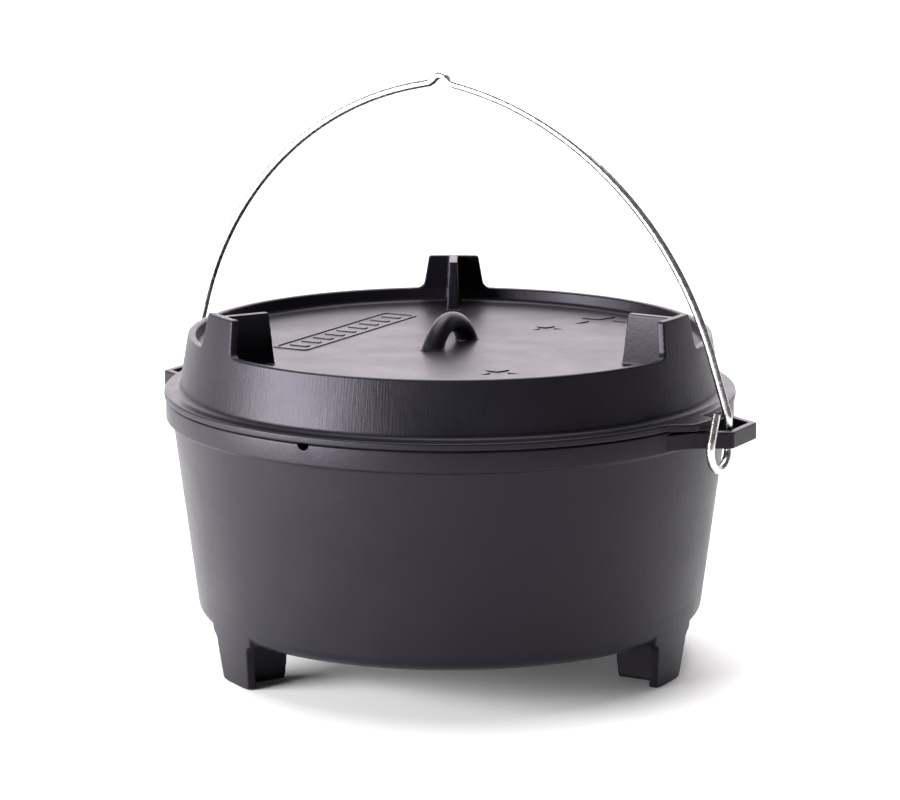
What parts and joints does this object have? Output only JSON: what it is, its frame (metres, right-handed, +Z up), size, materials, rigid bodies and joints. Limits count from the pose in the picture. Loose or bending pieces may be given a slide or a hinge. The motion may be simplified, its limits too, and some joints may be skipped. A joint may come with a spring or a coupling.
{
  "type": "camp dutch oven",
  "caption": "Deep cast iron camp oven with T-section legs, a flanged lid with matching feet and a loop handle, and a wire bail hooked into two slotted ears.",
  "frame": {"origin": "on the ground plane under the legs, at the middle of the bounding box", "axes": "+Z up, +X along the line through the two ears, -Y towards the probe notch in the pot's rim"},
  "size_m": [0.3976, 0.35, 0.3625],
  "materials": {
    "cast_iron_pot": "seasoned satin",
    "cast_iron_lid": "seasoned satin",
    "steel_wire": "drawn and polished"
  },
  "bodies": {
    "pot": {"pot_wall": "cast_iron_pot", "pot_floor": "cast_iron_pot", "pot_ear_right": "cast_iron_pot", "pot_ear_left": "cast_iron_pot", "pot_leg_1": "cast_iron_pot", "pot_leg_2": "cast_iron_pot", "pot_leg_3": "cast_iron_pot"},
    "lid": {"lid_plate": "cast_iron_lid", "lid_rim": "cast_iron_lid", "lid_lug_right": "cast_iron_lid", "lid_lug_left": "cast_iron_lid", "lid_foot_1": "cast_iron_lid", "lid_foot_2": "cast_iron_lid", "lid_foot_3": "cast_iron_lid", "lid_loop": "cast_iron_lid"},
    "bail": {"bail_handle": "steel_wire"}
  },
  "joints": [
    {"name": "lid_lift", "type": "slide", "parent": "pot", "child": "lid", "axis": [0, 0, 1], "range_m": [0, 0.0045]},
    {"name": "bail_swing", "type": "hinge", "parent": "pot", "child": "bail", "pos_m": [0.1904, -0.018, 0.15715], "axis": [0.9956, -0.0941, 0], "range_deg": [-50, 50]}
  ]
}
